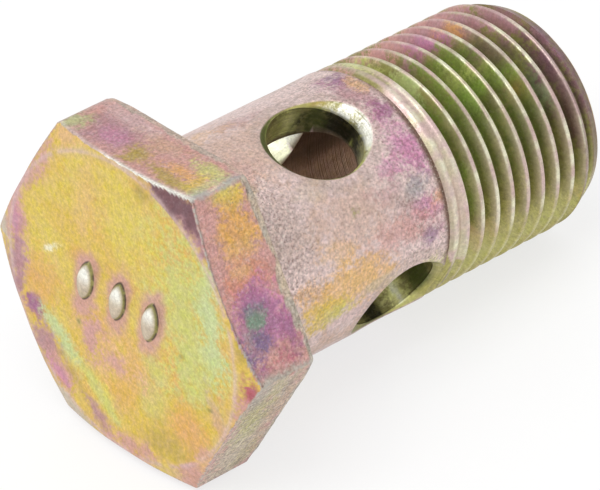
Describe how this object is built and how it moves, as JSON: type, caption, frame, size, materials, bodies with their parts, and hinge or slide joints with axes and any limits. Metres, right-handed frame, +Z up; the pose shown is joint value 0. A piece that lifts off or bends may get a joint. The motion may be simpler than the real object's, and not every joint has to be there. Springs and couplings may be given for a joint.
{
  "type": "hydraulic banjo bolt",
  "caption": "Hollow hexagon-head screw for a hydraulic ring fitting: oil bore up the threaded end, cross drillings through the plain shank.",
  "frame": {"origin": "under the middle of the lying bolt, on the surface that it lies on", "axes": "+X from the head towards the threaded end, level; +Z up; the bolt's own axis dips 5.665 degrees from +X towards the threaded end"},
  "size_m": [0.0406, 0.0278, 0.0245],
  "materials": {
    "plated_steel": "yellow-chromated zinc plating, iridescent in pink, gold and green, worn bright on the edges"
  },
  "bodies": {
    "root": {"banjo_bolt": "plated_steel"}
  },
  "joints": []
}
